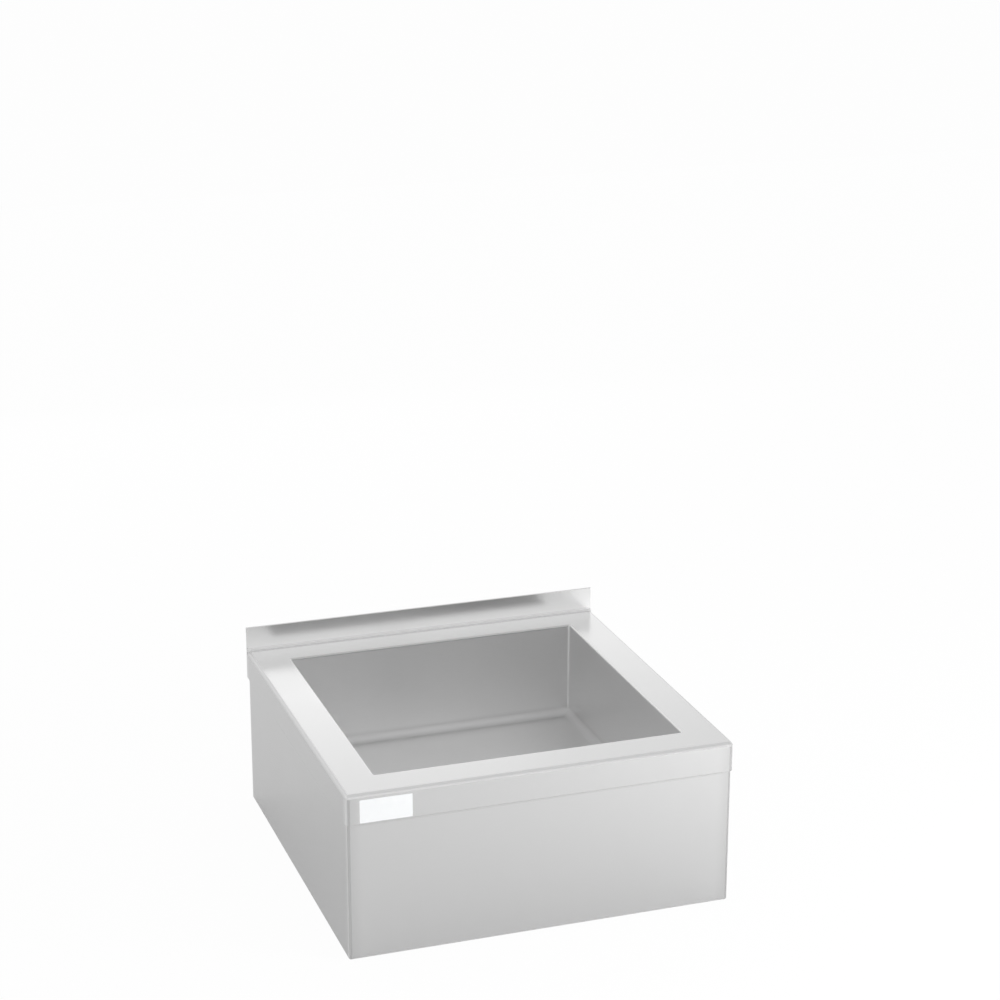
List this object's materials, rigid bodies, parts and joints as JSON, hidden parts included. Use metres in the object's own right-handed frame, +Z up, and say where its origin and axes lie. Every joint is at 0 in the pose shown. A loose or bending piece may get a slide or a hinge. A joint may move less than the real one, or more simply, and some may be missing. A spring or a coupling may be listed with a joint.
{
  "type": "mop service sink",
  "caption": "Floor-standing stainless steel mop service sink: one deep square bowl, low backsplash, skirts to the floor, basket drain with lift-out strainer.",
  "frame": {"origin": "on the floor, under the middle of the sink's overall box", "axes": "+X to the right, +Y to the back (the backsplash and the wall), +Z up"},
  "size_m": [0.762, 0.762, 0.381],
  "materials": {
    "satin_stainless": "satin",
    "polished_stainless": "polished",
    "zinc_steel": "zinc plated",
    "brass": "as cast",
    "rubber": "matt",
    "nylon": "moulded",
    "fibre": "pressed",
    "damping_pad": "matt"
  },
  "bodies": {
    "sink": {"top_deck": "satin_stainless", "bowl": "satin_stainless", "wrap_skirt": "satin_stainless", "rear_panel": "satin_stainless", "channel_left": "zinc_steel", "channel_right": "zinc_steel", "foot_bracket_front_left": "zinc_steel", "foot_bracket_front_right": "zinc_steel", "foot_bracket_rear_left": "zinc_steel", "foot_bracket_rear_right": "zinc_steel", "weld_nuts": "zinc_steel", "jam_nuts": "zinc_steel", "sound_pad_front": "damping_pad", "sound_pad_rear": "damping_pad", "sound_pad_left": "damping_pad", "sound_pad_right": "damping_pad", "drain_body": "polished_stainless", "outlet_crossbar": "polished_stainless", "drain_gasket": "rubber", "drain_slip_ring": "fibre", "drain_locknut": "brass", "tail_washer": "rubber", "tailpiece": "polished_stainless", "coupling_nut": "polished_stainless"},
    "strainer": {"strainer_basket": "polished_stainless"},
    "stopper": {"stopper_post": "polished_stainless", "stopper_knob": "nylon", "stopper_seal": "rubber"},
    "foot_front_left": {"foot_stud_front_left": "zinc_steel", "foot_pad_front_left": "nylon"},
    "foot_front_right": {"foot_stud_front_right": "zinc_steel", "foot_pad_front_right": "nylon"},
    "foot_rear_left": {"foot_stud_rear_left": "zinc_steel", "foot_pad_rear_left": "nylon"},
    "foot_rear_right": {"foot_stud_rear_right": "zinc_steel", "foot_pad_rear_right": "nylon"}
  },
  "joints": [
    {"name": "strainer_lift", "type": "slide", "parent": "sink", "child": "strainer", "axis": [0, 0, 1], "range_m": [0, 0.12]},
    {"name": "stopper_press", "type": "slide", "parent": "strainer", "child": "stopper", "axis": [0, 0, -1], "range_m": [0, 0.007]},
    {"name": "foot_front_left_screw", "type": "slide", "parent": "sink", "child": "foot_front_left", "axis": [0, 0, -1], "range_m": [0, 0.012]},
    {"name": "foot_front_right_screw", "type": "slide", "parent": "sink", "child": "foot_front_right", "axis": [0, 0, -1], "range_m": [0, 0.012]},
    {"name": "foot_rear_left_screw", "type": "slide", "parent": "sink", "child": "foot_rear_left", "axis": [0, 0, -1], "range_m": [0, 0.012]},
    {"name": "foot_rear_right_screw", "type": "slide", "parent": "sink", "child": "foot_rear_right", "axis": [0, 0, -1], "range_m": [0, 0.012]}
  ]
}
